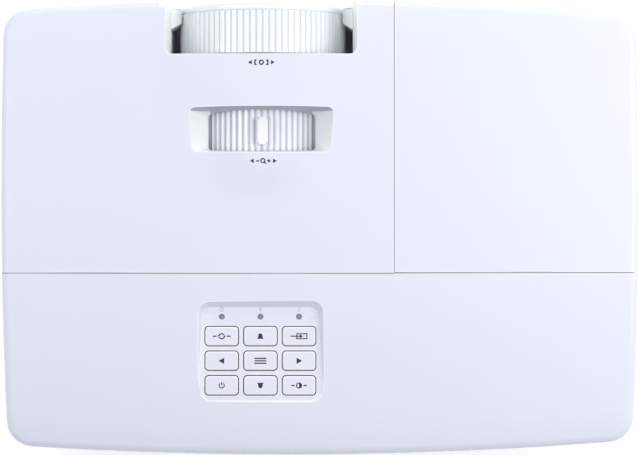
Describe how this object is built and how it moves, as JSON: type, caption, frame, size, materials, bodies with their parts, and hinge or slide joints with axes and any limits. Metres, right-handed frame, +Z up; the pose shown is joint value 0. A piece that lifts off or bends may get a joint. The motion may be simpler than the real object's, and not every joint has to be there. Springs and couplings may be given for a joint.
{
  "type": "data projector",
  "caption": "White table-top data projector with focus and zoom rings, keypad, lift-off lamp cover, screw feet and rear sockets.",
  "frame": {"origin": "on the table, under the middle of the case", "axes": "+X to the user's right when standing behind the projector, +Y towards the lens and the screen, +Z up"},
  "size_m": [0.315, 0.2244, 0.0929],
  "materials": {
    "case_white": "fine satin grain",
    "ring_white": "satin moulded",
    "key_white": "satin moulded",
    "panel_grey": "satin moulded",
    "grille_grey": "satin moulded",
    "smoked_window": "polished",
    "black_plastic": "moulded",
    "lens_glass": "coated",
    "cast_metal": "as cast",
    "filter_glass": "coated",
    "bare_steel": "plated",
    "circuit_board": "solder mask",
    "aluminium": "extruded",
    "heat_plastic": "glass filled",
    "ceramic": "unglazed",
    "components": "moulded",
    "power_laminate": "laminate",
    "socket_blue": "moulded",
    "jack_yellow": "moulded",
    "jack_green": "moulded",
    "clear_plastic": "clear moulded",
    "foot_rubber": "moulded",
    "insert_brass": "knurled"
  },
  "bodies": {
    "chassis": {"upper_case": "case_white", "lower_case": "case_white", "rear_panel": "panel_grey", "exhaust_grille": "grille_grey", "ir_window": "smoked_window", "lens_barrel": "black_plastic", "rear_lens": "lens_glass", "optical_engine": "cast_metal", "light_tunnel": "cast_metal", "colour_wheel_motor": "bare_steel", "mirror_board": "circuit_board", "mirror_heat_sink": "aluminium", "lamp_housing": "heat_plastic", "lamp_reflector": "filter_glass", "lamp_burner": "ceramic", "lamp_ballast": "components", "exhaust_fan_frame": "black_plastic", "lamp_blower_housing": "black_plastic", "main_board": "circuit_board", "main_board_parts": "components", "power_board": "power_laminate", "power_board_parts": "components", "mains_inlet": "black_plastic", "vga_sockets": "socket_blue", "serial_socket": "bare_steel", "hdmi_socket": "bare_steel", "usb_socket": "bare_steel", "s_video_socket": "black_plastic", "composite_socket": "jack_yellow", "audio_sockets": "jack_green", "speaker": "black_plastic", "keypad_board": "circuit_board", "keypad_switches": "components", "light_pipes": "clear_plastic", "fixed_foot": "foot_rubber", "ceiling_inserts": "insert_brass", "case_screws": "bare_steel"},
    "lamp_cover": {"lamp_cover": "case_white"},
    "focus_ring": {"focus_ring": "ring_white"},
    "front_lens_group": {"front_lens_cell": "black_plastic", "front_lens": "lens_glass"},
    "zoom_ring": {"zoom_ring": "ring_white"},
    "zoom_lens_group": {"zoom_lens_cell": "black_plastic", "zoom_lens": "lens_glass"},
    "colour_wheel": {"colour_wheel": "filter_glass"},
    "exhaust_fan_rotor": {"exhaust_fan_rotor": "black_plastic"},
    "lamp_blower_rotor": {"lamp_blower_rotor": "black_plastic"},
    "front_foot_pad": {"front_foot_pad": "foot_rubber"},
    "front_foot_stud": {"front_foot_stud": "bare_steel"},
    "rear_foot_pad": {"rear_foot_pad": "foot_rubber"},
    "rear_foot_stud": {"rear_foot_stud": "bare_steel"},
    "key_resync": {"key_resync": "key_white"},
    "key_up": {"key_up": "key_white"},
    "key_source": {"key_source": "key_white"},
    "key_left": {"key_left": "key_white"},
    "key_menu": {"key_menu": "key_white"},
    "key_right": {"key_right": "key_white"},
    "key_power": {"key_power": "key_white"},
    "key_down": {"key_down": "key_white"},
    "key_mode": {"key_mode": "key_white"}
  },
  "joints": [
    {"name": "lamp_cover_lift", "type": "slide", "parent": "chassis", "child": "lamp_cover", "axis": [0, 0, 1], "range_m": [0, 0.06]},
    {"name": "focus_turn", "type": "hinge", "parent": "chassis", "child": "focus_ring", "pos_m": [-0.029, 0.096, 0.0499], "axis": [0, 1, 0], "range_deg": [-60, 60]},
    {"name": "focus_travel", "type": "slide", "parent": "chassis", "child": "front_lens_group", "axis": [0, 1, 0], "range_m": [-0.00155, 0.00155]},
    {"name": "zoom_turn", "type": "hinge", "parent": "chassis", "child": "zoom_ring", "pos_m": [-0.029, 0.0475, 0.0499], "axis": [0, 1, 0], "range_deg": [-20, 20]},
    {"name": "zoom_travel", "type": "slide", "parent": "chassis", "child": "zoom_lens_group", "axis": [0, 1, 0], "range_m": [-0.00405, 0.00405]},
    {"name": "colour_wheel_spin", "type": "hinge", "parent": "chassis", "child": "colour_wheel", "pos_m": [0.05, 0.016, 0.0645], "axis": [1, 0, 0], "continuous": true},
    {"name": "exhaust_fan_spin", "type": "hinge", "parent": "chassis", "child": "exhaust_fan_rotor", "pos_m": [0.096, 0.0935, 0.042], "axis": [0, 1, 0], "continuous": true},
    {"name": "lamp_blower_spin", "type": "hinge", "parent": "chassis", "child": "lamp_blower_rotor", "pos_m": [0.086, 0.067, 0.017], "axis": [0, 0, 1], "continuous": true},
    {"name": "front_foot_travel", "type": "slide", "parent": "chassis", "child": "front_foot_pad", "axis": [0, 0, -1], "range_m": [0, 0.0091]},
    {"name": "front_foot_turn", "type": "hinge", "parent": "front_foot_pad", "child": "front_foot_stud", "pos_m": [0.032, 0.088, 0.004], "axis": [0, 0, 1], "range_deg": [0, 1080]},
    {"name": "rear_foot_travel", "type": "slide", "parent": "chassis", "child": "rear_foot_pad", "axis": [0, 0, -1], "range_m": [0, 0.0046]},
    {"name": "rear_foot_turn", "type": "hinge", "parent": "rear_foot_pad", "child": "rear_foot_stud", "pos_m": [0.126, -0.084, 0.004], "axis": [0, 0, 1], "range_deg": [0, 540]},
    {"name": "press_resync", "type": "slide", "parent": "chassis", "child": "key_resync", "axis": [0, 0, -1], "range_m": [0, 0.0006], "stiffness_N_per_m": 300, "springref_m": -0.0005},
    {"name": "press_up", "type": "slide", "parent": "chassis", "child": "key_up", "axis": [0, 0, -1], "range_m": [0, 0.0006], "stiffness_N_per_m": 300, "springref_m": -0.0005},
    {"name": "press_source", "type": "slide", "parent": "chassis", "child": "key_source", "axis": [0, 0, -1], "range_m": [0, 0.0006], "stiffness_N_per_m": 300, "springref_m": -0.0005},
    {"name": "press_left", "type": "slide", "parent": "chassis", "child": "key_left", "axis": [0, 0, -1], "range_m": [0, 0.0006], "stiffness_N_per_m": 300, "springref_m": -0.0005},
    {"name": "press_menu", "type": "slide", "parent": "chassis", "child": "key_menu", "axis": [0, 0, -1], "range_m": [0, 0.0006], "stiffness_N_per_m": 300, "springref_m": -0.0005},
    {"name": "press_right", "type": "slide", "parent": "chassis", "child": "key_right", "axis": [0, 0, -1], "range_m": [0, 0.0006], "stiffness_N_per_m": 300, "springref_m": -0.0005},
    {"name": "press_power", "type": "slide", "parent": "chassis", "child": "key_power", "axis": [0, 0, -1], "range_m": [0, 0.0006], "stiffness_N_per_m": 300, "springref_m": -0.0005},
    {"name": "press_down", "type": "slide", "parent": "chassis", "child": "key_down", "axis": [0, 0, -1], "range_m": [0, 0.0006], "stiffness_N_per_m": 300, "springref_m": -0.0005},
    {"name": "press_mode", "type": "slide", "parent": "chassis", "child": "key_mode", "axis": [0, 0, -1], "range_m": [0, 0.0006], "stiffness_N_per_m": 300, "springref_m": -0.0005}
  ],
  "couplings": [
    {"joint": "focus_travel", "follows": "focus_turn", "m_per_rad": 0.0014324},
    {"joint": "zoom_travel", "follows": "zoom_turn", "m_per_rad": 0.011459},
    {"joint": "front_foot_travel", "follows": "front_foot_turn", "m_per_rad": 0.00047746},
    {"joint": "rear_foot_travel", "follows": "rear_foot_turn", "m_per_rad": 0.00047746}
  ]
}
